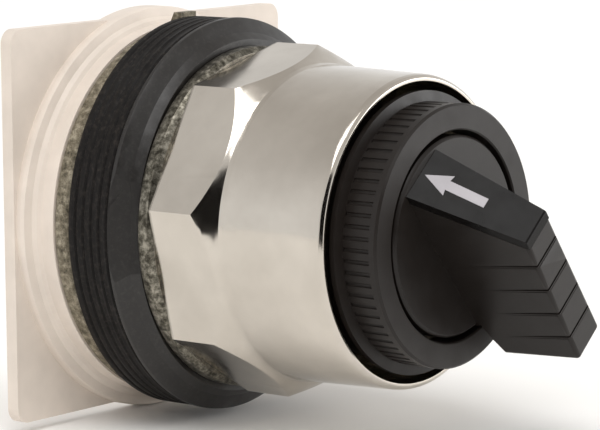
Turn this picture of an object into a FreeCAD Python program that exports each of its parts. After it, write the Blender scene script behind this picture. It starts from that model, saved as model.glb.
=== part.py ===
"""Rotary switch operator for a 30 mm panel hole: lever knob, ring nut, mounting bush and cam mechanism.

The switch axis is the Y axis. The front of the switch faces -Y, +X is to the right seen from the front
and +Z is up. The origin is the centre of the bush flange's front face, which is the seat for the panel.
Turned parts are drawn as (radius, forward) points, where forward is the distance in front of the seat.
At rest the knob points 40 degrees left of up, the left push rod is pushed and the right one is free.
"""

import FreeCAD, Part
import math
import os

Vector = FreeCAD.Vector
AXIS = Vector(0, 1, 0)
ORIGIN = Vector(0, 0, 0)

# Panel interface and outer sizes, all in millimetres
THREAD_R = 15.0              # outside of the 30 mm neck thread
THREAD_PITCH = 1.5
FLANGE_R = 20.6
FLANGE_T = 2.0
SKIRT_R = 17.0               # the bush's rear skirt, inside the housing
PLATE_W = 45.8
PLATE_H = 43.0
PLATE_T = 1.5
PLATE_FRONT = -5.6           # the square plate's front face
REAR = PLATE_FRONT - PLATE_T
BOSS_R = 22.6

# Washers and gasket, a little taller than wide
WASHER_COUNT = 5
WASHER_T = 1.1
WASHER_R = 21.7
GASKET_R = 21.8
GASKET_T = 2.7
GASKET_FLAT = 18.6           # distance of each side flat from the axis
GASKET_TURN = 2.0            # the gasket sits turned by this many degrees
OVAL = 0.95                  # width over height of washers and gasket

# Ring nut
NUT_FLANGE_R = 18.8
NUT_FLANGE_T = 2.0
OCTAGON_R = 19.3             # corner radius
OCTAGON_L = 5.8
OCTAGON_TURN = 8.5
BARREL_R = 17.25
RIM_R = 16.9
BARREL_BORE_R = 16.1
BARREL_END = 31.6

# Bezel ring in the barrel's mouth
BEZEL_R = 14.1
BEZEL_HOLE_R = 11.3
BEZEL_FRONT = 36.5
BEZEL_LIP_R = 15.2
BEZEL_LIP = 32.0             # front of the lip that the knurl starts from
BEZEL_TEETH = 72

# Knob
DISC_R = 10.75
DISC_T = 2.4
LEVER_TIP = (2.85, 11.5)     # along the pointer direction, above the disc
LEVER_TAIL = (-15.4, 10.4)
LEVER_FOOT = 9.7             # where the pointer face meets the disc
FACE_LENGTH = math.hypot(LEVER_FOOT - LEVER_TIP[0], LEVER_TIP[1])
LEVER_HALF_BASE = 3.45
LEVER_ROUND = 0.45           # rounding of the lever's outer edges
GROOVE_END = 3.0             # height at which the finger grooves fade out
LEVER_HALF_TOP = 2.3
POINTER_TURN = -40.0         # at rest the pointer is this far left of up
CAP_T = 1.0

# Mechanism
SHAFT_R = 3.0
SQUARE = 4.0
ROD_PLACE = 7.5              # distance of each push rod from the axis
ROD_R = 1.6
ROD_TRAVEL = 2.5
BALL_PLACE = 7.0
BALL_R = 1.5
INSERT_PLACE = 9.5           # distance of each contact-block screw from the axis
SCREW_PLACE = 14.75
GAP = 0.05                   # running clearance on radius

# Places along the axis, in front of the seat
WASHERS_FRONT = WASHER_COUNT * WASHER_T
GASKET_FRONT = WASHERS_FRONT + GASKET_T
NUT_FACE = GASKET_FRONT + NUT_FLANGE_T
OCTAGON_FRONT = NUT_FACE + OCTAGON_L
SPIGOT_START = 20.0          # where the neck narrows for the bezel ring
SPIGOT_R = 12.8
SPIGOT_END = 33.0
WEB_REAR = 11.0              # the solid web across the neck that carries the shaft
WEB_FRONT = 22.0
CAM_FRONT = 10.6
CAM_LOW = 7.5                # cam surface under a free rod
CAM_HIGH = CAM_LOW - ROD_TRAVEL
CLIP_PLACE = 4.0             # retaining ring behind the cam
COVER_T = 2.0
COVER_FRONT = REAR + COVER_T


def turned(*points):
    """A solid of revolution about the switch axis from (radius, forward) points."""
    corners = [Vector(r, -forward, 0) for r, forward in points]
    outline = Part.makePolygon(corners + corners[:1])
    return Part.Face(outline).revolve(ORIGIN, AXIS, 360)


def tube(outer, inner, rear, front):
    """A plain ring between two places along the axis."""
    return turned((inner, rear), (outer, rear), (outer, front), (inner, front))


def rod(radius, rear, front, x=0.0, z=0.0):
    """A round bar parallel to the axis."""
    return Part.makeCylinder(radius, front - rear, Vector(x, -front, z), AXIS)


def block(width, height, rear, front, x=0.0, z=0.0):
    """A rectangular bar parallel to the axis, centred on (x, z)."""
    corner = Vector(x - width / 2, -front, z - height / 2)
    return Part.makeBox(width, front - rear, height, corner)


def spin(shape, degrees):
    """Turns a shape clockwise about the axis, seen from the front."""
    turned_shape = shape.copy()
    turned_shape.rotate(ORIGIN, AXIS, degrees)
    return turned_shape


def fused(shapes):
    return shapes[0].multiFuse(shapes[1:]).removeSplitter()


def around(shape, angles):
    return [spin(shape, angle) for angle in angles]


def made_oval(shape):
    """Squeezes a shape sideways, so that it is taller than wide."""
    squeeze = FreeCAD.Matrix()
    squeeze.A11 = OVAL
    return shape.transformGeometry(squeeze)


def edges_where(shape, test):
    """Edges whose bounding-box centre passes the test."""
    return [edge for edge in shape.Edges if test(edge, edge.BoundBox.Center)]


# Housing and panel parts

def rear_housing():
    """Square plate with a round boss in front of it, bored for the bush and recessed for the cover."""
    plate = block(PLATE_W, PLATE_H, REAR, PLATE_FRONT)
    corners = edges_where(plate, lambda e, c: abs(c.x) > PLATE_W / 2 - 0.01 and abs(c.z) > PLATE_H / 2 - 0.01)
    plate = plate.makeFillet(1.6, corners)
    step = -FLANGE_T - 1.9       # a soft step round the boss, behind the bush flange
    boss = turned((0, REAR), (BOSS_R, REAR), (BOSS_R, PLATE_FRONT + 0.5), (BOSS_R - 0.15, PLATE_FRONT + 1.0),
                  (FLANGE_R + 0.9, step - 0.5), (FLANGE_R + 0.6, step), (FLANGE_R + 0.2, step + 0.25),
                  (FLANGE_R + 0.1, -FLANGE_T), (0, -FLANGE_T))
    bore = rod(SKIRT_R + GAP, REAR - 1, 1)
    recess = rod(18.1, REAR - 1, COVER_FRONT)
    seal_groove = tube(19.35, 18.05, -FLANGE_T - 0.9, 1)
    return fused([plate, boss]).cut(bore).cut(recess).cut(seal_groove)


def neck_seal():
    """O-ring between the bush flange and the housing."""
    return Part.makeTorus(18.7, 0.44, Vector(0, FLANGE_T + 0.45, 0), AXIS)


def thread_profile(start, end, radius):
    """Points of a simple ridged thread, from rear to front."""
    points = []
    turns = int((end - start) / THREAD_PITCH)
    for turn in range(turns):
        place = start + turn * THREAD_PITCH
        points += [(radius - 0.7, place), (radius, place + 0.6), (radius, place + 0.9)]
    points.append((radius - 0.7, start + turns * THREAD_PITCH))
    return points


def mounting_bush():
    """Die-cast flange, threaded neck and rear skirt in one piece, with the web that carries the shaft."""
    outline = [(0, COVER_FRONT), (SKIRT_R, COVER_FRONT), (SKIRT_R, -FLANGE_T), (FLANGE_R - 0.3, -FLANGE_T),
               (FLANGE_R, -FLANGE_T + 0.3), (FLANGE_R, -0.3), (FLANGE_R - 0.3, 0)]
    outline += [(THREAD_R - 0.7, 0)] + thread_profile(1.0, SPIGOT_START - 1.0, THREAD_R)
    outline += [(THREAD_R - 0.7, SPIGOT_START), (SPIGOT_R, SPIGOT_START), (SPIGOT_R, SPIGOT_END),
                (0, SPIGOT_END)]
    body = turned(*outline)
    body = body.fuse(locating_lug())
    cavities = [rod(12.5, -10, WEB_REAR), rod(10.9, WEB_FRONT, SPIGOT_END + 1),
                rod(SHAFT_R + 2.0, WEB_REAR - 1, 17.0), rod(SHAFT_R + 1.05, 16, WEB_FRONT + 1)]
    cavities += around(rod(BALL_R + GAP, WEB_REAR - 1, 19.0, z=BALL_PLACE), (0, 180))
    cavities += around(rod(1.05, -10, 1.0 - FLANGE_T, z=SCREW_PLACE), (45, 135, 225, 315))
    for cavity in cavities:
        body = body.cut(cavity)
    return body.removeSplitter()


def locating_lug():
    """Small tab on top of the flange that sets the switch upright; its back leans forward."""
    width, height, foot = 2.6, 22.2, 18.0
    profile = [Vector(-width / 2, FLANGE_T, foot), Vector(-width / 2, FLANGE_T, FLANGE_R - 0.4),
               Vector(-width / 2, FLANGE_T - 1.0, height), Vector(-width / 2, 0, height),
               Vector(-width / 2, 0, foot)]
    return Part.Face(Part.makePolygon(profile + profile[:1])).extrude(Vector(width, 0, 0))


def thin_washers():
    """Stack of thin rubber washers; each has a rounded rim."""
    washers = []
    edge = 0.22
    for place in range(WASHER_COUNT):
        rear = place * WASHER_T
        front = rear + WASHER_T
        disc = made_oval(turned((0, rear), (WASHER_R - edge, rear), (WASHER_R, rear + edge),
                                (WASHER_R, front - edge), (WASHER_R - edge, front), (0, front)))
        washers.append(disc.cut(rod(THREAD_R + 0.25, rear - 1, front + 1)))
    return Part.makeCompound(washers)


def panel_gasket():
    """Thick gasket that tapers to a bevelled front edge and has two side flats."""
    rear, front = WASHERS_FRONT, GASKET_FRONT
    bevel_start = front - 0.95
    ring = made_oval(turned((0, rear), (GASKET_R - 0.3, rear), (GASKET_R, rear + 0.3),
                            (GASKET_R - 0.05, rear + 0.7), (GASKET_R - 1.6, bevel_start),
                            (GASKET_R - 2.3, front), (0, front)))
    ring = ring.cut(rod(THREAD_R + 0.25, rear - 1, front + 1))
    outside = GASKET_R + 5
    profile = [Vector(x, -forward, -30) for x, forward in
               ((GASKET_R * OVAL + 0.05, rear), (GASKET_FLAT, bevel_start), (GASKET_FLAT - 0.65, front),
                (GASKET_FLAT - 0.65, front + 1), (outside, front + 1), (outside, rear))]
    flat = Part.Face(Part.makePolygon(profile + profile[:1])).extrude(Vector(0, 0, 60))
    for side in (0, 180):
        ring = ring.cut(spin(flat, side))
    return spin(ring, GASKET_TURN)


def ring_nut():
    """Octagonal nut with a thin round flange behind and a long round barrel in front, in one piece."""
    corner = Vector(OCTAGON_R, -NUT_FACE, 0)
    corners = [FreeCAD.Rotation(AXIS, 45 * place).multVec(corner) for place in range(9)]
    octagon = Part.Face(Part.makePolygon(corners)).extrude(Vector(0, -OCTAGON_L - 3, 0))
    cone_drop = 1.6              # how far the cone comes in from the corners
    cone_rise = 2.0
    cone_top = OCTAGON_FRONT + cone_rise
    envelope = turned((0, NUT_FACE), (OCTAGON_R + 1.6, NUT_FACE), (OCTAGON_R + 1.6, OCTAGON_FRONT - 2),
                      (OCTAGON_R - cone_drop, cone_top), (0, cone_top))
    octagon = spin(octagon.common(envelope), OCTAGON_TURN)
    flange = turned((0, GASKET_FRONT), (NUT_FLANGE_R - 0.3, GASKET_FRONT), (NUT_FLANGE_R, GASKET_FRONT + 0.3),
                    (NUT_FLANGE_R, NUT_FACE - 0.5), (NUT_FLANGE_R - 0.6, NUT_FACE), (0, NUT_FACE))
    barrel = turned((0, NUT_FACE), (BARREL_R, NUT_FACE), (BARREL_R + 0.45, cone_top),
                    (BARREL_R + 0.15, cone_top + 0.35), (BARREL_R, cone_top + 0.9), (RIM_R, BARREL_END - 0.7),
                    (RIM_R - 0.12, BARREL_END - 0.3), (RIM_R - 0.4, BARREL_END - 0.03),
                    (RIM_R - 0.5, BARREL_END), (0, BARREL_END))
    bore = turned((0, 0), (THREAD_R + GAP, 0), (THREAD_R + GAP, SPIGOT_START + 0.6),
                  (BARREL_BORE_R, SPIGOT_START + 1.6), (BARREL_BORE_R, BARREL_END - 0.35),
                  (BARREL_BORE_R + 0.3, BARREL_END + 1), (0, BARREL_END + 1))
    return fused([flange, octagon, barrel]).cut(bore)


def bezel_ring():
    """Knurled ring screwed on the front of the neck; its flat front frames the knob."""
    skirt, skirt_r = 27.0, 13.7
    body = turned((SPIGOT_R + GAP, skirt), (skirt_r, skirt), (skirt_r, BEZEL_LIP - 0.6),
                  (BEZEL_LIP_R, BEZEL_LIP - 0.6), (BEZEL_LIP_R, BEZEL_LIP), (BEZEL_R - 0.05, BEZEL_LIP + 0.2),
                  (BEZEL_R, BEZEL_FRONT - 1.0), (BEZEL_R, BEZEL_FRONT - 0.25),
                  (BEZEL_R - 0.25, BEZEL_FRONT), (BEZEL_HOLE_R + 0.15, BEZEL_FRONT),
                  (BEZEL_HOLE_R, BEZEL_FRONT - 0.15), (BEZEL_HOLE_R, SPIGOT_END + 0.1),
                  (SPIGOT_R + GAP, SPIGOT_END + 0.1))
    groove = rod(0.24, BEZEL_LIP + 0.3, BEZEL_FRONT - 0.9, z=BEZEL_R)
    grooves = around(groove, [360.0 * tooth / BEZEL_TEETH for tooth in range(BEZEL_TEETH)])
    return body.cut(Part.makeCompound(grooves))


def rear_cover():
    """Plate that closes the back, guides the push rods and carries the contact-block inserts."""
    plate = rod(18.0, REAR, COVER_FRONT)
    posts = around(rod(2.9, COVER_FRONT - 0.5, -1.5, z=INSERT_PLACE), (0, 180))
    plate = fused([plate] + posts)
    holes = around(rod(ROD_R + GAP, REAR - 1, COVER_FRONT + 1, x=ROD_PLACE), (0, 180))
    holes += around(rod(2.0, REAR - 1, 0, z=INSERT_PLACE), (0, 180))
    sink = Part.makeCone(2.6, 1.35, 1.25, Vector(0, -REAR, SCREW_PLACE), -AXIS)
    hole = rod(1.35, REAR - 1, COVER_FRONT + 1, z=SCREW_PLACE)
    holes += around(sink, (45, 135, 225, 315)) + around(hole, (45, 135, 225, 315))
    for shape in holes:
        plate = plate.cut(shape)
    return plate


def cover_screws():
    """Four countersunk screws that hold the cover and the housing to the bush."""
    head = Part.makeCone(2.5, 1.05, 1.25, Vector(0, -REAR - 0.05, SCREW_PLACE), -AXIS)
    shank = rod(1.04, REAR + 0.5, -1.6, z=SCREW_PLACE)
    slot = block(4.9, 0.6, REAR - 0.1, REAR + 0.55, z=SCREW_PLACE)
    return Part.makeCompound(around(head.fuse(shank).cut(slot), (45, 135, 225, 315)))


def block_inserts():
    """Two threaded inserts for the contact block's screws."""
    insert = tube(2.0, 1.25, REAR, -2.0)
    insert.translate(Vector(0, 0, INSERT_PLACE))
    return Part.makeCompound(around(insert, (0, 180)))


# Knob, drawn with +U along the pointer and +V to its right, then turned to the rest pointer angle

def uv_point(u, v, height):
    """Point on the knob for a pointer that points straight up, height above the disc's face."""
    return Vector(v, -(BEZEL_FRONT + height), u)


def side_profile(points):
    """A slab wider than the lever from a side view given as (u, height) points."""
    corners = [uv_point(u, -6, height) for u, height in points]
    return Part.Face(Part.makePolygon(corners + corners[:1])).extrude(Vector(12, 0, 0))


def lever_wedge(inset=0.0, groove=0.0):
    """Everything between the lever's two tapered sides, or between the bottoms of its fading grooves."""
    slope = (LEVER_HALF_BASE - LEVER_HALF_TOP) / LEVER_TIP[1]
    deepening = groove / (LEVER_TIP[1] - GROOVE_END)
    low, high = -1.0, LEVER_TIP[1] + 2
    corners = []
    for side, height in ((-1, low), (1, low), (1, high), (-1, high)):
        half = LEVER_HALF_BASE - slope * height - inset - deepening * (height - GROOVE_END)
        corners.append(uv_point(-20, side * half, height))
    return Part.Face(Part.makePolygon(corners + corners[:1])).extrude(Vector(0, 0, 40))


def face_line(distance, depth):
    """Point on the lever's pointer face: distance up the face from its foot, depth below it."""
    along = ((LEVER_TIP[0] - LEVER_FOOT) / FACE_LENGTH, LEVER_TIP[1] / FACE_LENGTH)
    return (LEVER_FOOT + along[0] * distance - along[1] * depth, along[1] * distance + along[0] * depth)


def face_at(height, depth):
    """Point at this depth below the pointer face and this height above the disc."""
    return face_line((FACE_LENGTH * height + (LEVER_FOOT - LEVER_TIP[0]) * depth) / LEVER_TIP[1], depth)


def face_top(depth):
    """Where a line at this depth below the pointer face meets the lever's end face."""
    slope = (LEVER_TIP[1] - LEVER_TAIL[1]) / (LEVER_TIP[0] - LEVER_TAIL[0])
    start, end = face_line(0, depth), face_line(1, depth)
    rise = (end[1] - start[1]) - slope * (end[0] - start[0])
    short = (LEVER_TIP[1] - start[1]) - slope * (LEVER_TIP[0] - start[0])
    return face_line(short / rise, depth)


def lever_grooves():
    """Four finger grooves over the lever's end face, in wider shallow dips; they fade out down the sides."""
    pitch = (LEVER_TIP[0] - LEVER_TAIL[0]) / 5
    grooves = []
    for half_width, depth in ((0.13, 0.22), (0.34, 0.07)):
        core = side_profile([(12, -1), (12, 20), (LEVER_TIP[0], LEVER_TIP[1] - depth),
                             (LEVER_TAIL[0] - 1, LEVER_TAIL[1] - depth), (LEVER_TAIL[0] - 1, -1)])
        core = core.common(lever_wedge(0.0, depth))
        for rib in range(1, 5):
            u = LEVER_TIP[0] - rib * pitch
            slab = side_profile([(u - half_width, GROOVE_END), (u + half_width, GROOVE_END),
                                 (u + half_width, 16), (u - half_width, 16)])
            grooves.append(slab.cut(core))
    return grooves


def knob():
    """Disc, lever and hub in one moulding, with a square hole for the shaft."""
    under = 0.45                 # the overhanging tail clears the bezel ring by this much
    lever = side_profile([face_at(-1, CAP_T), face_top(CAP_T), LEVER_TAIL,
                          (LEVER_TAIL[0] + 0.55, under + 1.3), (LEVER_TAIL[0] + 2.9, under + 0.5),
                          (-DISC_R + 0.5, under), (-DISC_R + 0.5, -1)])
    lever = lever.common(lever_wedge())
    outer = -(BEZEL_FRONT + LEVER_TAIL[1])
    long_edges = edges_where(lever, lambda e, c: e.Length > 12 and c.y < outer and abs(c.x) > 2)
    tail_edges = edges_where(lever, lambda e, c: c.z < LEVER_TAIL[0] + 0.6 and c.y < -BEZEL_FRONT - 3)
    lever = lever.makeFillet(LEVER_ROUND, long_edges + tail_edges)
    for groove in lever_grooves():
        lever = lever.cut(groove)
    disc = turned((0, BEZEL_FRONT - DISC_T), (DISC_R, BEZEL_FRONT - DISC_T), (DISC_R, BEZEL_FRONT - 0.3),
                  (DISC_R - 0.3, BEZEL_FRONT), (0, BEZEL_FRONT))
    hub = rod(6.5, WEB_FRONT + 1.0, BEZEL_FRONT - DISC_T + 0.1)
    body = fused([disc, lever, hub])
    socket = block(SQUARE + 0.04, SQUARE + 0.04, WEB_FRONT, BEZEL_FRONT + 5.1)
    return body.cut(socket).cut(knob_screw_bar(1.25, 0.0, 5.0))


def knob_screw_bar(radius, start, end):
    """Round bar square to the pointer face, between two depths below it."""
    distance = 6.2
    first, last = face_line(distance, start), face_line(distance, end)
    base, tip = uv_point(first[0], 0, first[1]), uv_point(last[0], 0, last[1])
    return Part.makeCylinder(radius, end - start, base, tip - base)


def knob_screw():
    """Set screw under the pointer cap that grips the shaft's square."""
    screw = knob_screw_bar(1.23, CAP_T + 0.15, 4.4)
    return screw.cut(knob_screw_bar(0.6, CAP_T, 2.2))


def pointer_cap():
    """Inset plate that forms the lever's pointer face and covers the set screw."""
    seam = 0.04
    outline = [face_at(seam, 0), LEVER_TIP, face_top(CAP_T - seam), face_at(seam, CAP_T - seam)]
    cap = side_profile(outline).common(lever_wedge(0.02))
    outer = BEZEL_FRONT + LEVER_TIP[1] - 1.2
    rounded = edges_where(cap, lambda e, c: e.Length > 4 and c.z < 6 and c.y < -outer)
    cap = cap.makeFillet(0.35, rounded[:1])
    return cap.cut(arrow_plate(0.2, 1.0, 0.03))


def arrow_plate(depth, height, grow=0.0):
    """Arrow shape on the pointer face, from a depth below it to a height above it."""
    tip, back, notch, end = 0.5, 3.3, 3.15, 7.6
    head_half, shaft_half = 1.38 + grow, 0.62 + grow
    outline = [(tip - 3 * grow, 0), (back + 2 * grow, head_half), (notch + grow, shaft_half),
               (end + grow, shaft_half), (end + grow, -shaft_half), (notch + grow, -shaft_half),
               (back + 2 * grow, -head_half)]
    low = [uv_point(*mixed(face_line(along, depth), across)) for along, across in outline]
    first, last = face_line(0, depth), face_line(0, -height)
    step = uv_point(last[0], 0, last[1]) - uv_point(first[0], 0, first[1])
    return Part.Face(Part.makePolygon(low + low[:1])).extrude(step)


def mixed(place, across):
    """Joins a (u, height) place and a sideways distance into (u, v, height)."""
    return place[0], across, place[1]


def pointer_arrow():
    """White arrow let into the pointer cap, a hair proud of it."""
    return arrow_plate(0.18, 0.02)


# Shaft and bearings

def shaft():
    """Steel spindle: square front and rear, round middle with two seal grooves."""
    body = rod(SHAFT_R, WEB_REAR, WEB_FRONT + 0.9)
    front = block(SQUARE, SQUARE, WEB_FRONT + 0.8, BEZEL_FRONT + 5.0)
    rear = block(SQUARE, SQUARE, 2.6, WEB_REAR + 0.1)
    body = fused([body, front, rear])
    for place in (18.2, 20.6):
        body = body.cut(tube(SHAFT_R + 1, 2.2, place - 0.95, place + 0.95))
    return body.cut(tube(SHAFT_R + 2, 1.75, CLIP_PLACE - 0.3, CLIP_PLACE + 0.3))


def shaft_seals():
    """Two O-rings in the shaft's grooves."""
    rings = [Part.makeTorus(3.1, 0.89, Vector(0, -place, 0), AXIS) for place in (18.2, 20.6)]
    return Part.makeCompound(rings)


def shaft_bush():
    """Plain bearing sleeve pressed in the web."""
    return tube(SHAFT_R + 2.0, SHAFT_R + 0.03, WEB_REAR, 17.0)


def thrust_washer():
    """Slip washer between the knob's hub and the web."""
    return tube(6.4, SHAFT_R + 0.15, WEB_FRONT, WEB_FRONT + 0.95)


def ramp(angles_and_places):
    """A ring-shaped ramp whose rear face follows (angle, forward place) pairs, for one push rod."""
    inner, outer = 5.4, 9.8
    sections = []
    for angle, place in angles_and_places:
        corners = [Vector(r, -forward, 0) for r, forward in
                   ((inner, place), (outer, place), (outer, CAM_FRONT - 1.0), (inner, CAM_FRONT - 1.0))]
        sections.append(spin(Part.makePolygon(corners + corners[:1]), angle))
    return Part.makeLoft(sections, True, True)


def cam():
    """Face cam on the shaft: one ramp per push rod behind, four ball notches in front."""
    body = fused([tube(10.0, 0.5, 9.0, CAM_FRONT), tube(5.4, 0.5, 4.4, WEB_REAR - 0.05)])
    margin, sweep, steps = 18.0, 90.0, 12
    travel = [(-sweep * i / steps, CAM_LOW - ROD_TRAVEL * i / steps) for i in range(steps + 1)]
    right = [(margin, CAM_LOW)] + travel + [(-sweep - margin, CAM_HIGH)]
    left = [(180 + margin, CAM_HIGH)]
    left += [(180 - sweep * i / steps, CAM_HIGH + ROD_TRAVEL * i / steps) for i in range(steps + 1)]
    left += [(180 - sweep - margin, CAM_LOW)]
    body = fused([body, ramp(right), ramp(left)])
    body = body.cut(spin(block(SQUARE + 0.04, SQUARE + 0.04, 0, 20), POINTER_TURN))
    notch = Part.makeSphere(BALL_R + 0.1, Vector(0, -(CAM_FRONT + BALL_R + GAP - 0.6), BALL_PLACE))
    for shape in around(notch, (0, 90, 180, 270)):
        body = body.cut(shape)
    return body


def cam_clip():
    """Retaining ring in the groove behind the cam."""
    ring = tube(4.2, 1.78, CLIP_PLACE - 0.25, CLIP_PLACE + 0.25)
    return ring.cut(block(2.4, 6, CLIP_PLACE - 1, CLIP_PLACE + 1, z=-4.0))


# Push rods, detent balls and their springs

def push_rod(side, pushed):
    """Push rod with a round nose on the cam and a collar for its spring."""
    shift = ROD_TRAVEL if pushed else 0.0
    nose = CAM_LOW - 0.12 - shift
    tail = REAR - 0.5 - shift
    x = side * ROD_PLACE
    tip_r = ROD_R - 0.1
    body = rod(ROD_R, tail, nose - tip_r, x=x)
    tip = Part.makeSphere(tip_r, Vector(x, -(nose - tip_r), 0))
    collar = rod(2.7, nose - 4.2, nose - 3.2, x=x)
    return fused([body, tip, collar]), nose - 4.2


def coil(mean_r, wire_r, rear, front, turns, x=0.0, z=0.0):
    """Closed round-wire compression spring parallel to the axis."""
    length = front - rear - 2 * wire_r
    helix = Part.makeHelix(length / turns, length, mean_r)
    circle = Part.Circle(Vector(mean_r, 0, 0), Vector(0, 1, 0), wire_r)
    profile = Part.Wire([circle.toShape()])
    spring = Part.Wire(helix.Edges).makePipeShell([profile], True, True)
    spring.rotate(ORIGIN, Vector(1, 0, 0), 90)
    spring.translate(Vector(x, -(rear + wire_r), z))
    return spring


def detent_ball(side):
    return Part.makeSphere(BALL_R, Vector(0, -(CAM_FRONT + BALL_R + GAP), side * BALL_PLACE))


def detent_spring(side):
    ball_front = CAM_FRONT + 2 * BALL_R + GAP
    return coil(1.05, 0.2, ball_front + 0.02, 18.98, 6, z=side * BALL_PLACE)


def build():
    """All sub-parts by node name."""
    left_rod, left_collar = push_rod(-1, pushed=True)
    right_rod, right_collar = push_rod(1, pushed=False)
    knob_parts = {"knob": knob(), "pointer_cap": pointer_cap(), "pointer_arrow": pointer_arrow(),
                  "knob_screw": knob_screw()}
    parts = {name: spin(shape, POINTER_TURN) for name, shape in knob_parts.items()}
    parts.update({
        "rear_housing": rear_housing(), "mounting_bush": mounting_bush(), "neck_seal": neck_seal(),
        "thin_washers": thin_washers(), "panel_gasket": panel_gasket(), "ring_nut": ring_nut(),
        "bezel_ring": bezel_ring(), "rear_cover": rear_cover(), "cover_screws": cover_screws(),
        "block_inserts": block_inserts(), "shaft": spin(shaft(), POINTER_TURN), "shaft_seals": shaft_seals(),
        "shaft_bush": shaft_bush(), "thrust_washer": thrust_washer(), "cam": cam(), "cam_clip": cam_clip(),
        "push_rod_left": left_rod, "push_rod_right": right_rod,
        "rod_spring_left": coil(2.2, 0.25, COVER_FRONT + 0.02, left_collar - 0.02, 5, x=-ROD_PLACE),
        "rod_spring_right": coil(2.2, 0.25, COVER_FRONT + 0.02, right_collar - 0.02, 5, x=ROD_PLACE),
        "detent_ball_top": detent_ball(1), "detent_ball_bottom": detent_ball(-1),
        "detent_spring_top": detent_spring(1), "detent_spring_bottom": detent_spring(-1),
    })
    return parts


os.makedirs("parts", exist_ok=True)
for node, shape in build().items():
    solids = shape.Solids
    print(node, len(solids), "solid(s)", round(sum(s.Volume for s in solids), 2), "mm3", shape.isValid())
    shape.exportStep("parts/%s.step" % node)
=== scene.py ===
"""Looks of a 30 mm rotary switch operator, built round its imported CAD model."""

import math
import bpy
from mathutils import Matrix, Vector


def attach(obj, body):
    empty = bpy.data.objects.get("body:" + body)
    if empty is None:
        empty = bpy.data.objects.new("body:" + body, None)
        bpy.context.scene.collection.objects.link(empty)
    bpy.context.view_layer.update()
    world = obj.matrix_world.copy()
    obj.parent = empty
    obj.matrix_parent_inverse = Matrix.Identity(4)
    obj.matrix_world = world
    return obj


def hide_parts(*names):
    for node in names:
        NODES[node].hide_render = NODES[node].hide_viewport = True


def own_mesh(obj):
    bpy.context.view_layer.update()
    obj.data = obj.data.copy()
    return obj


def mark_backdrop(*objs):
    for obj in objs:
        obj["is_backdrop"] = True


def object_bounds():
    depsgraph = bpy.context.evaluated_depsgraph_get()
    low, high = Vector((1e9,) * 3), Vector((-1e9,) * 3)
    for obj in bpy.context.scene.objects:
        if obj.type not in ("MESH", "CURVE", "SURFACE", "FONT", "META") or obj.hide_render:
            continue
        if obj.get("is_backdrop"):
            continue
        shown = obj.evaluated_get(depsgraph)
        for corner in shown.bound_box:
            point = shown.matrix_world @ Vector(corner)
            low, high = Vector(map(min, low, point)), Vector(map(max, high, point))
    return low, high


bl_info = {
    "name": "Rotary Switch Operator",
    "version": (1, 0, 0),
    "blender": (4, 5, 0),
    "location": "View3D > Sidebar > Switch",
    "description": "Dresses the parts of a rotary switch operator and sets its studio",
    "category": "Object",
}

import bpy
from mathutils import Vector

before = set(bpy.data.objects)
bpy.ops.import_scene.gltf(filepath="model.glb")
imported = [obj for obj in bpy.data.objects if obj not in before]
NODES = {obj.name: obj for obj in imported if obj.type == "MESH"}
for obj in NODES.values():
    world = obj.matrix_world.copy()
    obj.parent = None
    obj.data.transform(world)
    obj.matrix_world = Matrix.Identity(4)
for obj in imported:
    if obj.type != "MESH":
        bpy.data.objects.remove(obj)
MM = 0.001

# Studio, in metres where no unit is named
FLOOR_GAP = 0.05 * MM                         # air under the lowest point of the switch
FLOOR_HALF = 4.0
PAPER_PATCH = 400.0                           # millimetres across the paper's faint uneven patches
WALL_STRENGTH = 0.95
SKY_SIDE = Vector((-0.35, -0.25, 0.9))        # direction that the overhead light comes from
SKY_ANGLE = 45.0                              # degrees that the overhead light fills
SHEEN_PLACE = Vector((0.62, -0.52, 0.12))     # softbox at the front right, which the front faces mirror
SHEEN_SIZE = 0.5
FLAG_SIDE = Vector((-0.763, -0.645, 0.05))    # direction of the black card from the switch
FLAG_WIDTH, FLAG_HEIGHT, FLAG_AWAY = 220 * MM, 140 * MM, 210 * MM
CAMERA_PLACE = (-283.74 * MM, -240.05 * MM, 51.29 * MM)
CAMERA_TURN = (82.026, 0.487, -51.720)        # degrees about X, Y and Z
SENSOR_WIDTH = 36.0                           # millimetres
NEAREST, FARTHEST = 0.01, 20.0

# Finishes, in millimetres where they are lengths
SHADE = 0.86                                  # how dark the darker patches of a plastic are
CAST_EDGE = -10.35                            # place along Y where the ring nut's polish ends
CAST_BLEND = 0.2
CAST_ROUGHNESS = 0.25                         # added to the polished part's roughness
RUBBER_LINE_GAP = 0.9865                      # real cutting lines are finer; drawn coarse enough to show
RUBBER_LINE_WANDER = 1 / 12                   # how quickly those lines wander from straight
TOOL_RING_GAP = 0.2367                        # real tool rings are finer; drawn coarse enough to show
WELD_GAP = 0.0005                             # joins the corners that neighbouring faces share


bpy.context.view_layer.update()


# Colour and material helpers

def linear(hex_colour):
    """sRGB hex to the linear colour that shaders take."""
    channels = [int(hex_colour[place:place + 2], 16) / 255 for place in (1, 3, 5)]
    return [c / 12.92 if c <= 0.04045 else ((c + 0.055) / 1.055) ** 2.4 for c in channels] + [1.0]


def as_linear(colour):
    """Linear colour with alpha from a hex text or from a linear red, green and blue."""
    return linear(colour) if isinstance(colour, str) else list(colour[:3]) + [1.0]


def per_mm(size):
    """Texture scale for a pattern whose features are this many millimetres across."""
    return 1.0 / (size * MM)


def band_scale(gap):
    """Wave texture scale for bands this many millimetres apart; the texture has 20 radians to a unit."""
    return math.tau / 20.0 * per_mm(gap)


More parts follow.
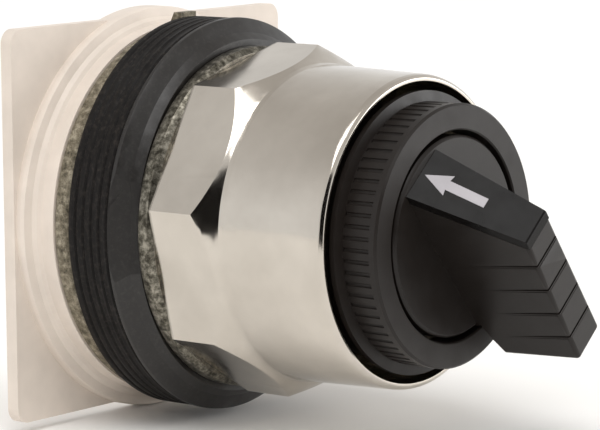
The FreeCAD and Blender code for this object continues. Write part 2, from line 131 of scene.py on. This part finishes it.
def add_node(tree, kind, links=(), stops=(), **settings):
    """Adds a node with its settings and links.

    A setting is a property or an input's value, links are (input, source socket), and stops are a colour
    ramp's (position, colour).
    """
    node = tree.nodes.new(kind)
    for key, value in settings.items():
        if hasattr(node, key):
            setattr(node, key, value)
        else:
            node.inputs[key.replace("_", " ")].default_value = value
    if stops:
        elements = node.color_ramp.elements
        while len(elements) < len(stops):
            elements.new(0.5)
        for element, (position, colour) in zip(elements, stops):
            element.position = position
            element.color = as_linear(colour)
    for target, source in links:
        tree.links.new(source, node.inputs[target])
    return node


def new_material(name):
    """An empty material with its Principled shader and object coordinates."""
    material = bpy.data.materials.new(name)
    material.use_nodes = True
    tree = material.node_tree
    place = add_node(tree, "ShaderNodeTexCoord").outputs["Object"]
    return material, tree, tree.nodes["Principled BSDF"], place


def mottle(tree, place, size, stops, detail=4.0, roughness=0.55):
    """Soft patches of colour, this many millimetres across."""
    patches = add_node(tree, "ShaderNodeTexNoise", [("Vector", place)], Scale=per_mm(size), Detail=detail,
                       Roughness=roughness).outputs["Fac"]
    return add_node(tree, "ShaderNodeValToRGB", [("Fac", patches)], stops).outputs["Color"]


def uneven_gloss(tree, place, size, low, high):
    """Roughness that wanders between two values in patches this many millimetres across."""
    patches = add_node(tree, "ShaderNodeTexNoise", [("Vector", place)], Scale=per_mm(size), Detail=4.0,
                       Roughness=0.55).outputs["Fac"]
    return add_node(tree, "ShaderNodeMapRange", [("Value", patches)], From_Min=0.3, From_Max=0.7, To_Min=low,
                    To_Max=high).outputs["Result"]


def relief(tree, place, size, depth, detail, roughness=0.55, under=None):
    """Fine hills and hollows, in millimetres across and deep, over any coarser relief under them."""
    hills = add_node(tree, "ShaderNodeTexNoise", [("Vector", place)], Scale=per_mm(size), Detail=detail,
                     Roughness=roughness).outputs["Fac"]
    links = [("Height", hills)] + ([("Normal", under)] if under else [])
    return add_node(tree, "ShaderNodeBump", links, Strength=1.0, Distance=depth * MM).outputs["Normal"]


def moulded_plastic(name, colour, roughness=0.45, grain=0.25, depth=0.002, patch=6.0, gloss=0.5):
    """Thermoplastic from a spark-eroded mould.

    The eye gets an even colour with a satin grain, and a gloss that varies a little where hands rub it.
    grain, depth and patch are millimetres: the size and depth of the grain, and the size of the patches.
    A real grain is under 0.1 mm across, and is drawn coarser so that it shows.
    """
    material, tree, shader, place = new_material(name)
    full = as_linear(colour)
    shade = [SHADE * channel for channel in full[:3]]
    patches = mottle(tree, place, patch, [(0.3, shade), (0.7, full)])
    tree.links.new(patches, shader.inputs["Base Color"])
    handled = uneven_gloss(tree, place, patch / 3, roughness - 0.06, roughness + 0.08)
    tree.links.new(handled, shader.inputs["Roughness"])
    tree.links.new(relief(tree, place, grain, depth, 2.0), shader.inputs["Normal"])
    shader.inputs["IOR"].default_value = 1.5
    shader.inputs["Specular IOR Level"].default_value = gloss
    return material


def sheet_rubber(name, colour, dust, roughness=0.62, grain=0.3, depth=0.006, cut_lines=0.0, gloss=0.2):
    """Black nitrile rubber, cut from sheet or moulded.

    The eye gets a matt black with pale dust in its pores, and faint lines round a rim that a tool has cut.
    grain, depth and cut_lines are millimetres: the size and depth of the pores, and the depth of the lines.
    Real pores are finer, and are drawn coarser so that they show.
    """
    material, tree, shader, place = new_material(name)
    specks = mottle(tree, place, 0.5, [(0.5, colour), (0.78, dust)], 8.0, 0.75)
    tree.links.new(specks, shader.inputs["Base Color"])
    scuffs = uneven_gloss(tree, place, 3.0, roughness - 0.08, roughness + 0.1)
    tree.links.new(scuffs, shader.inputs["Roughness"])
    lines = add_node(tree, "ShaderNodeTexWave", [("Vector", place)], bands_direction="Y",
                     Scale=band_scale(RUBBER_LINE_GAP), Distortion=3.0,
                     Detail_Scale=RUBBER_LINE_WANDER).outputs["Fac"]
    rim = add_node(tree, "ShaderNodeBump", [("Height", lines)], Strength=1.0,
                   Distance=cut_lines * MM).outputs["Normal"]
    tree.links.new(relief(tree, place, grain, depth, 3.0, under=rim), shader.inputs["Normal"])
    shader.inputs["IOR"].default_value = 1.52
    shader.inputs["Specular IOR Level"].default_value = gloss
    return material


def bright_nickel(name):
    """Bright nickel, electroplated on die-cast zinc that was polished except for its rear flange.

    The eye gets a warm mirror with a soft waviness, and a dull speckled flange behind it.
    """
    material, tree, shader, place = new_material(name)
    along = add_node(tree, "ShaderNodeSeparateXYZ", [("Vector", place)]).outputs["Y"]
    cast = add_node(tree, "ShaderNodeMapRange", [("Value", along)], From_Min=(CAST_EDGE - CAST_BLEND) * MM,
                    From_Max=(CAST_EDGE + CAST_BLEND) * MM).outputs["Result"]
    blotch = mottle(tree, place, 0.7, [(0.38, "#3C3932"), (0.5, "#6B675D"), (0.64, "#A09B8F")], 8.0, 0.7)
    clean = mottle(tree, place, 9.0, [(0.3, "#C4BDB3"), (0.7, "#D6CFC5")])
    colour = add_node(tree, "ShaderNodeMix", data_type="RGBA")
    for target, source in (("Factor", cast), ("A", clean), ("B", blotch)):
        socket = [s for s in colour.inputs if s.name == target and s.enabled][0]
        tree.links.new(source, socket)
    tree.links.new([s for s in colour.outputs if s.enabled][0], shader.inputs["Base Color"])
    polished = uneven_gloss(tree, place, 4.0, 0.10, 0.17)
    rough = add_node(tree, "ShaderNodeMath", [(0, cast), (2, polished)], operation="MULTIPLY_ADD")
    rough.inputs[1].default_value = CAST_ROUGHNESS
    tree.links.new(rough.outputs[0], shader.inputs["Roughness"])
    wave = relief(tree, place, 5.0, 0.012, 1.0)
    tree.links.new(relief(tree, place, 0.5, 0.0006, 3.0, under=wave), shader.inputs["Normal"])
    shader.inputs["Metallic"].default_value = 1.0
    return material


def zinc_casting(name):
    """Die-cast zinc, left bare: the eye gets a rough, speckled grey-brown skin of oxide."""
    material, tree, shader, place = new_material(name)
    oxide = mottle(tree, place, 0.8, [(0.36, "#3A3529"), (0.5, "#7C7463"), (0.64, "#B4AC9A")], 10.0, 0.8)
    tree.links.new(oxide, shader.inputs["Base Color"])
    tree.links.new(uneven_gloss(tree, place, 0.4, 0.45, 0.7), shader.inputs["Roughness"])
    tree.links.new(relief(tree, place, 0.35, 0.05, 6.0, 0.7), shader.inputs["Normal"])
    shader.inputs["Metallic"].default_value = 0.55
    return material


def machined_metal(name, colour, shade, roughness=0.3):
    """Turned or drawn metal: the eye gets fine rings left by the tool, which spread the gloss."""
    material, tree, shader, place = new_material(name)
    patches = mottle(tree, place, 1.5, [(0.3, shade), (0.7, colour)])
    tree.links.new(patches, shader.inputs["Base Color"])
    rings = add_node(tree, "ShaderNodeTexWave", [("Vector", place)], bands_direction="Y",
                     Scale=band_scale(TOOL_RING_GAP), Distortion=2.0).outputs["Fac"]
    streaks = add_node(tree, "ShaderNodeMapRange", [("Value", rings)], To_Min=roughness - 0.05,
                       To_Max=roughness + 0.08).outputs["Result"]
    tree.links.new(streaks, shader.inputs["Roughness"])
    grooves = add_node(tree, "ShaderNodeBump", [("Height", rings)], Strength=1.0, Distance=0.002 * MM)
    tree.links.new(grooves.outputs["Normal"], shader.inputs["Normal"])
    shader.inputs["Metallic"].default_value = 1.0
    return material


# Shape helpers

def soften(node, width, angle=25.0, segments=3):
    """Rounds a CAD node's sharp edges, as a mould or a polish leaves them; width in mm, angle in degrees."""
    part = NODES[node]
    weld = part.modifiers.new("Weld", "WELD")
    weld.merge_threshold = WELD_GAP * MM
    edge = part.modifiers.new("Edges", "BEVEL")
    edge.width = width * MM
    edge.segments = segments
    edge.limit_method = "ANGLE"
    edge.angle_limit = math.radians(angle)
    edge.harden_normals = True
    edge.use_clamp_overlap = True


def dress(material, *nodes):
    """Gives CAD nodes one material."""
    for node in nodes:
        part = NODES[node]
        part.data.materials.clear()
        part.data.materials.append(material)


# Settings that a user would change

def colour_setting(name, description, hex_colour):
    """A colour that a user can pick, with its default given as sRGB hex."""
    return bpy.props.FloatVectorProperty(name=name, description=description, subtype="COLOR", size=3,
                                         min=0.0, max=1.0, default=linear(hex_colour)[:3])


class SwitchFinishSettings(bpy.types.PropertyGroup):
    """Colours of the moulded pieces"""
    housing_colour: colour_setting("Housing", "Colour of the moulded rear housing", "#E2D6CA")
    bezel_colour: colour_setting("Bezel", "Colour of the knurled bezel ring", "#1E1916")
    knob_colour: colour_setting("Knob", "Colour of the lever knob", "#1B1613")
    arrow_colour: colour_setting("Arrow", "Colour of the pointer arrow", "#B2AEB2")


class SwitchStageSettings(bpy.types.PropertyGroup):
    """Strength of the lights and length of the lens"""
    sky_power: bpy.props.FloatProperty(
        name="Overhead light", description="Strength of the wide overhead light", default=1.6, min=0.0)
    sheen_power: bpy.props.FloatProperty(
        name="Front softbox", description="Power of the softbox at the front right", default=2.6,
        unit="POWER")
    camera_lens: bpy.props.FloatProperty(
        name="Lens", description="Focal length of the camera", default=200.58, unit="CAMERA")


# One operator per piece or group of like pieces

class SWITCH_OT_housing(bpy.types.Operator):
    """Rear housing and its cover in cream plastic"""
    bl_idname = "switch.housing"
    bl_label = "Rear housing"

    def execute(self, context):
        colour = context.scene.switch_finish.housing_colour
        plastic = moulded_plastic("cream_moulded_thermoplastic", colour, roughness=0.5, grain=0.3,
                                  depth=0.002)
        dress(plastic, "rear_housing", "rear_cover")
        soften("rear_housing", 0.35, angle=12.0)
        soften("rear_cover", 0.1)
        return {"FINISHED"}


class SWITCH_OT_bush(bpy.types.Operator):
    """Die-cast mounting bush"""
    bl_idname = "switch.bush"
    bl_label = "Mounting bush"

    def execute(self, context):
        dress(zinc_casting("die_cast_zinc"), "mounting_bush")
        return {"FINISHED"}


class SWITCH_OT_rubber(bpy.types.Operator):
    """Thin washers, thick gasket and seals in black rubber"""
    bl_idname = "switch.rubber"
    bl_label = "Washers and gasket"

    def execute(self, context):
        cut = sheet_rubber("black_sheet_rubber", "#0E0B0A", "#3A342F", cut_lines=0.05)
        dress(cut, "thin_washers", "neck_seal", "shaft_seals")
        moulded = sheet_rubber("moulded_gasket_rubber", "#191614", "#33302D", roughness=0.36, grain=0.4,
                               depth=0.004, gloss=0.5)
        dress(moulded, "panel_gasket")
        soften("panel_gasket", 0.1, angle=12.0, segments=2)
        return {"FINISHED"}


class SWITCH_OT_nut(bpy.types.Operator):
    """Octagonal ring nut in bright nickel plate"""
    bl_idname = "switch.nut"
    bl_label = "Ring nut"

    def execute(self, context):
        dress(bright_nickel("bright_nickel_plate"), "ring_nut")
        soften("ring_nut", 0.07, angle=12.0, segments=2)
        return {"FINISHED"}


class SWITCH_OT_bezel(bpy.types.Operator):
    """Knurled black bezel ring"""
    bl_idname = "switch.bezel"
    bl_label = "Bezel ring"

    def execute(self, context):
        colour = context.scene.switch_finish.bezel_colour
        plastic = moulded_plastic("black_bezel_thermoplastic", colour, roughness=0.4, grain=0.3,
                                  depth=0.004, gloss=0.3)
        dress(plastic, "bezel_ring")
        return {"FINISHED"}


class SWITCH_OT_knob(bpy.types.Operator):
    """Lever knob with its gloss pointer cap and white arrow"""
    bl_idname = "switch.knob"
    bl_label = "Lever knob"

    def execute(self, context):
        finish = context.scene.switch_finish
        body = moulded_plastic("black_knob_thermoplastic", finish.knob_colour, roughness=0.34, grain=0.3,
                               depth=0.003, gloss=0.3)
        cap = moulded_plastic("gloss_black_thermoplastic", "#0E0C0B", roughness=0.22, grain=0.6,
                              depth=0.001, gloss=0.12)
        arrow = moulded_plastic("white_moulded_thermoplastic", finish.arrow_colour, roughness=0.5,
                                grain=0.3, depth=0.002)
        for material, node in ((body, "knob"), (cap, "pointer_cap"), (arrow, "pointer_arrow")):
            dress(material, node)
        soften("knob", 0.3)
        return {"FINISHED"}


class SWITCH_OT_mechanism(bpy.types.Operator):
    """Shaft, cam, push rods, springs and screws inside the housing"""
    bl_idname = "switch.mechanism"
    bl_label = "Mechanism"

    def execute(self, context):
        steel = machined_metal("ground_steel", "#B4B4B6", "#9C9C9E", roughness=0.25)
        zinc_plate = machined_metal("zinc_plated_steel", "#C4C3BC", "#A8A79F", roughness=0.32)
        wire = machined_metal("drawn_spring_wire", "#8E8E90", "#77777A", roughness=0.35)
        brass = machined_metal("turned_brass", "#C9A35C", "#B48D45", roughness=0.3)
        white = moulded_plastic("white_acetal", "#E3E0D8", roughness=0.35)
        red = moulded_plastic("red_acetal", "#B23A30", roughness=0.35)
        dress(steel, "shaft", "detent_ball_top", "detent_ball_bottom")
        dress(zinc_plate, "cover_screws", "knob_screw", "cam_clip")
        dress(wire, "rod_spring_left", "rod_spring_right", "detent_spring_top", "detent_spring_bottom")
        dress(brass, "block_inserts", "shaft_bush")
        dress(white, "cam", "thrust_washer")
        dress(red, "push_rod_left", "push_rod_right")
        squeezed_spring(wire)
        return {"FINISHED"}


def squeezed_spring(wire):
    """The right push rod's spring, as a piece of its own in the spring wire, hung on the operator body in
    place of the hidden CAD node.
    """
    node = "rod_spring_right"
    spring = bpy.data.objects.new("right_return_spring", NODES[node].data.copy())
    bpy.context.scene.collection.objects.link(spring)
    spring.data.materials.clear()
    spring.data.materials.append(wire)
    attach(spring, "operator")
    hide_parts(node)
    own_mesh(spring)


def soft_light(name, place, size, power):
    """A square softbox that faces the switch and doesn't show in the picture."""
    data = bpy.data.lights.new(name, "AREA")
    data.shape = "SQUARE"
    data.size = size
    data.energy = power
    light = bpy.data.objects.new(name, data)
    light.location = place
    light.rotation_euler = (-place).to_track_quat("-Z", "Y").to_euler()
    light.visible_camera = False
    bpy.context.scene.collection.objects.link(light)


def soft_sky(power):
    """Wide overhead light, as even over the floor as a large ceiling softbox."""
    data = bpy.data.lights.new("sky", "SUN")
    data.energy = power
    data.angle = math.radians(SKY_ANGLE)
    light = bpy.data.objects.new("sky", data)
    light.rotation_euler = (-SKY_SIDE).to_track_quat("-Z", "Y").to_euler()
    bpy.context.scene.collection.objects.link(light)


def pale_floor(floor_height):
    """Wide sheet of pale matt paper: the eye gets a plain ground with hardly any pattern."""
    half = FLOOR_HALF
    corners = [(x, y, floor_height) for x, y in ((-half, -half), (half, -half), (half, half), (-half, half))]
    mesh = bpy.data.meshes.new("studio_floor")
    mesh.from_pydata(corners, [], [(0, 1, 2, 3)])
    material, tree, shader, place = new_material("pale_paper")
    patches = mottle(tree, place, PAPER_PATCH, [(0.3, "#F4F3F1"), (0.7, "#F8F7F5")])
    tree.links.new(patches, shader.inputs["Base Color"])
    shader.inputs["Roughness"].default_value = 0.9
    mesh.materials.append(material)
    return bpy.data.objects.new("studio_floor", mesh)


def camera_flag(floor_height):
    """Black card that draws dark shapes on bright metal; it shows only in reflections, without a shadow."""
    side = Vector((-FLAG_SIDE.y, FLAG_SIDE.x, 0)).normalized() * FLAG_WIDTH / 2
    foot = FLAG_SIDE.normalized() * FLAG_AWAY
    foot.z = floor_height
    rise = Vector((0, 0, FLAG_HEIGHT))
    mesh = bpy.data.meshes.new("camera_flag")
    mesh.from_pydata([foot - side, foot + side, foot + side + rise, foot - side + rise], [], [(0, 1, 2, 3)])
    material, tree, shader, place = new_material("black_velvet_card")
    nap = mottle(tree, place, 2.0, [(0.3, "#0A0908"), (0.7, "#12100F")])
    tree.links.new(nap, shader.inputs["Base Color"])
    shader.inputs["Roughness"].default_value = 1.0
    shader.inputs["Specular IOR Level"].default_value = 0.0
    mesh.materials.append(material)
    flag = bpy.data.objects.new("camera_flag", mesh)
    flag.visible_camera = False
    flag.visible_diffuse = False
    flag.visible_shadow = False
    return flag


def make_world(scene):
    """Studio surround: white at the level of the horizon, a little dimmer overhead."""
    world = bpy.data.worlds.new("studio")
    world.use_nodes = True
    tree = world.node_tree
    place = add_node(tree, "ShaderNodeTexCoord").outputs["Generated"]
    height = add_node(tree, "ShaderNodeSeparateXYZ", [("Vector", place)]).outputs["Z"]
    walls = add_node(tree, "ShaderNodeValToRGB", [("Fac", height)], [(0.2, "#FFFFFF"), (0.9, "#C9C6C2")])
    tree.links.new(walls.outputs["Color"], tree.nodes["Background"].inputs["Color"])
    tree.nodes["Background"].inputs["Strength"].default_value = WALL_STRENGTH
    scene.world = world


def place_camera(scene, lens):
    """The camera, from the left and a little above, looking at the front of the switch."""
    data = bpy.data.cameras.new("camera")
    data.sensor_width = SENSOR_WIDTH
    data.lens = lens
    data.clip_start = NEAREST
    data.clip_end = FARTHEST
    camera = bpy.data.objects.new("camera", data)
    camera.location = CAMERA_PLACE
    camera.rotation_euler = [math.radians(angle) for angle in CAMERA_TURN]
    scene.collection.objects.link(camera)
    scene.camera = camera


class SWITCH_OT_stage(bpy.types.Operator):
    """Pale floor, soft lights and the camera"""
    bl_idname = "switch.stage"
    bl_label = "Studio"

    def execute(self, context):
        settings = context.scene.switch_stage
        floor_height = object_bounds()[0][2] - FLOOR_GAP
        floor = pale_floor(floor_height)
        flag = camera_flag(floor_height)
        for surround in (floor, flag):
            context.scene.collection.objects.link(surround)
        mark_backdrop(floor, flag)

        make_world(context.scene)
        soft_sky(settings.sky_power)
        soft_light("sheen", SHEEN_PLACE, SHEEN_SIZE, settings.sheen_power)
        place_camera(context.scene, settings.camera_lens)
        context.scene.view_settings.view_transform = "Standard"
        return {"FINISHED"}


PIECES = (SWITCH_OT_stage, SWITCH_OT_housing, SWITCH_OT_bush, SWITCH_OT_rubber, SWITCH_OT_nut,
          SWITCH_OT_bezel, SWITCH_OT_knob, SWITCH_OT_mechanism)


class SWITCH_PT_panel(bpy.types.Panel):
    """Lists the pieces of the switch"""
    bl_idname = "SWITCH_PT_panel"
    bl_label = "Rotary switch"
    bl_space_type = "VIEW_3D"
    bl_region_type = "UI"
    bl_category = "Switch"

    def draw(self, context):
        for piece in PIECES:
            self.layout.operator(piece.bl_idname)
        for setting in ("housing_colour", "bezel_colour", "knob_colour", "arrow_colour"):
            self.layout.prop(context.scene.switch_finish, setting)
        for setting in ("sky_power", "sheen_power", "camera_lens"):
            self.layout.prop(context.scene.switch_stage, setting)


CLASSES = (SwitchFinishSettings, SwitchStageSettings) + PIECES + (SWITCH_PT_panel,)


def register():
    for cls in CLASSES:
        bpy.utils.register_class(cls)
    bpy.types.Scene.switch_finish = bpy.props.PointerProperty(type=SwitchFinishSettings)
    bpy.types.Scene.switch_stage = bpy.props.PointerProperty(type=SwitchStageSettings)


def unregister():
    del bpy.types.Scene.switch_stage
    del bpy.types.Scene.switch_finish
    for cls in reversed(CLASSES):
        bpy.utils.unregister_class(cls)


def main():
    register()
    for piece in PIECES:
        group, name = piece.bl_idname.split(".")
        getattr(getattr(bpy.ops, group), name)()


if __name__ == "__main__":
    main()
